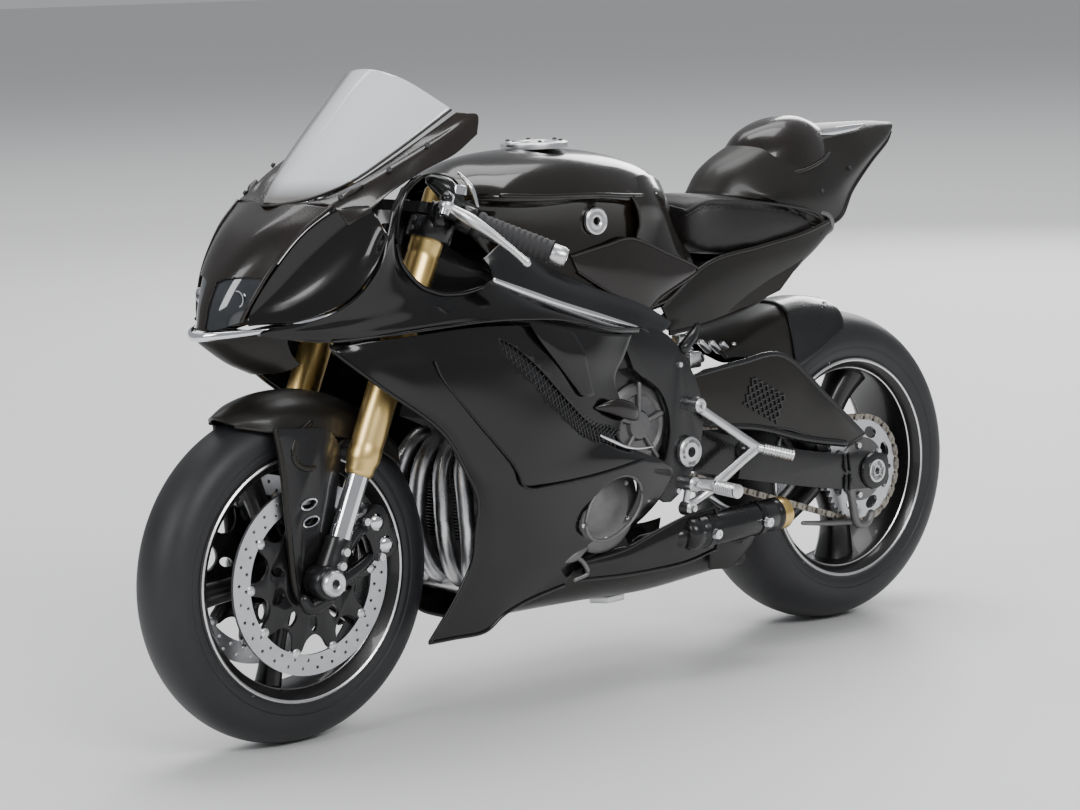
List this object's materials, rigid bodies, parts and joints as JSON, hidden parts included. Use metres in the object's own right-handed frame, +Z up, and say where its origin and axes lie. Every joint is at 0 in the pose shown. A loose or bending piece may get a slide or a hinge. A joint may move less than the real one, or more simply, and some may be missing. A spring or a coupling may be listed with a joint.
{
  "type": "rc motorcycle",
  "caption": "Fully faired radio-controlled sport motorcycle with sprung fork and swingarm, turning wheels, chain drive and servo steering.",
  "frame": {"origin": "middle of the outline on the ground, below the centre of length and width", "axes": "+X forward, +Y to the rider's left, +Z up"},
  "size_m": [0.3985, 0.131, 0.2336],
  "materials": {
    "gloss_black": "gloss",
    "tank_black": "gloss",
    "satin_black": "satin",
    "frame_black": "gloss",
    "cast_grey": "satin",
    "gold_anodised": "gloss",
    "polished": "gloss",
    "bright_alloy": "satin",
    "disc_steel": "satin",
    "chain_steel": "satin",
    "tyre": "matte",
    "rubber": "matte",
    "screen": "gloss",
    "lamp_lens": "gloss",
    "tail_lens": "gloss",
    "seat_vinyl": "satin",
    "battery_wrap": "satin",
    "dark_plastic": "matte",
    "brass": "satin",
    "white_plastic": "satin"
  },
  "bodies": {
    "chassis": {"main_frame": "frame_black", "subframe": "satin_black", "crankcase": "cast_grey", "crank_covers": "frame_black", "drive_motor": "cast_grey", "battery_pack": "battery_wrap", "speed_controller": "dark_plastic", "receiver": "dark_plastic", "steering_servo": "dark_plastic", "radiator": "cast_grey", "exhaust_headers": "polished", "exhaust_canister": "frame_black", "exhaust_tip": "gold_anodised", "upper_cowl": "gloss_black", "headlights": "lamp_lens", "nose_chin": "satin_black", "windscreen": "screen", "side_panels": "gloss_black", "side_fairings": "gloss_black", "belly_pan": "satin_black", "belly_loop": "bright_alloy", "tank_cover": "tank_black", "tank_fittings": "bright_alloy", "seat": "seat_vinyl", "tail_cowl": "satin_black", "tail_pad": "satin_black", "tail_light": "tail_lens", "rearsets": "bright_alloy", "pivot_bolt": "bright_alloy"},
    "front_drive": {"drive_sprocket": "disc_steel"},
    "pinion": {"motor_pinion": "brass"},
    "horn": {"servo_horn": "white_plastic"},
    "link": {"link_rod": "bright_alloy"},
    "steering": {"upper_clamp": "frame_black", "lower_clamp": "frame_black", "fork_tubes": "gold_anodised", "handlebars": "frame_black", "grips": "rubber"},
    "clutch": {"clutch_lever": "bright_alloy"},
    "brake": {"brake_lever": "bright_alloy"},
    "fork_lower": {"fork_sliders": "polished", "fork_feet": "frame_black", "front_fender": "satin_black", "front_calipers": "frame_black", "front_axle": "bright_alloy"},
    "front_wheel": {"front_rim": "frame_black", "front_tyre": "tyre", "front_discs": "disc_steel"},
    "swingarm": {"swingarm": "frame_black", "rear_axle": "bright_alloy", "drive_chain": "chain_steel", "hugger": "satin_black", "swingarm_cover": "satin_black"},
    "rear_wheel": {"rear_rim": "frame_black", "rear_tyre": "tyre", "rear_sprocket": "disc_steel", "rear_disc": "disc_steel"},
    "shock_upper": {"shock_body": "gold_anodised", "shock_spring": "bright_alloy"},
    "shock_lower": {"shock_rod": "polished"}
  },
  "joints": [
    {"name": "steering_turn", "type": "hinge", "parent": "chassis", "child": "steering", "pos_m": [0.13302, 0, 0.05706], "axis": [-0.4067, 0, 0.9135], "range_deg": [-18, 18]},
    {"name": "fork_slide", "type": "slide", "parent": "steering", "child": "fork_lower", "axis": [-0.4067, 0, 0.9135], "range_m": [-0.003, 0.006], "stiffness_N_per_m": 3500, "springref_m": -0.0015},
    {"name": "front_wheel_spin", "type": "hinge", "parent": "fork_lower", "child": "front_wheel", "pos_m": [0.14, 0, 0.0595], "axis": [0, 1, 0], "continuous": true},
    {"name": "clutch_pull", "type": "hinge", "parent": "steering", "child": "clutch", "pos_m": [0.092, 0.038, 0.1864], "axis": [-0.4067, 0, 0.9135], "range_deg": [0, 14], "stiffness_Nm_per_rad": 0.03, "springref_deg": -5.73},
    {"name": "brake_pull", "type": "hinge", "parent": "steering", "child": "brake", "pos_m": [0.092, -0.038, 0.1864], "axis": [0.4067, 0, -0.9135], "range_deg": [0, 14], "stiffness_Nm_per_rad": 0.03, "springref_deg": -5.73},
    {"name": "swingarm_pivot", "type": "hinge", "parent": "chassis", "child": "swingarm", "pos_m": [-0.028, 0, 0.0846], "axis": [0, 1, 0], "range_deg": [-3, 8], "stiffness_Nm_per_rad": 14, "springref_deg": -2.86},
    {"name": "rear_wheel_spin", "type": "hinge", "parent": "swingarm", "child": "rear_wheel", "pos_m": [-0.136, 0, 0.063], "axis": [0, 1, 0], "continuous": true},
    {"name": "sprocket_spin", "type": "hinge", "parent": "chassis", "child": "front_drive", "pos_m": [-0.028, 0, 0.0846], "axis": [0, 1, 0], "continuous": true},
    {"name": "pinion_spin", "type": "hinge", "parent": "chassis", "child": "pinion", "pos_m": [-0.01334, 0, 0.08994], "axis": [0, 1, 0], "continuous": true},
    {"name": "horn_turn", "type": "hinge", "parent": "chassis", "child": "horn", "pos_m": [0.10196, 0, 0.04323], "axis": [-0.4067, 0, 0.9135], "range_deg": [-20, 20]},
    {"name": "link_turn", "type": "hinge", "parent": "horn", "child": "link", "pos_m": [0.10196, -0.009, 0.04323], "axis": [-0.4067, 0, 0.9135], "range_deg": [-20, 20]},
    {"name": "shock_swing", "type": "hinge", "parent": "chassis", "child": "shock_upper", "pos_m": [-0.018, 0, 0.127], "axis": [0, 1, 0], "range_deg": [-2, 4]},
    {"name": "shock_stroke", "type": "slide", "parent": "shock_upper", "child": "shock_lower", "axis": [-0.8575, 0, -0.5145], "range_m": [-0.006, 0.003], "deforming": ["shock_spring"]}
  ],
  "couplings": [
    {"joint": "sprocket_spin", "follows": "rear_wheel_spin", "ratio": 2.8125},
    {"joint": "pinion_spin", "follows": "rear_wheel_spin", "ratio": -8.4375},
    {"joint": "horn_turn", "follows": "steering_turn", "ratio": 1},
    {"joint": "link_turn", "follows": "steering_turn", "ratio": -1},
    {"joint": "shock_swing", "follows": "swingarm_pivot", "ratio": 0.337},
    {"joint": "shock_stroke", "follows": "swingarm_pivot", "m_per_rad": -0.0315}
  ]
}
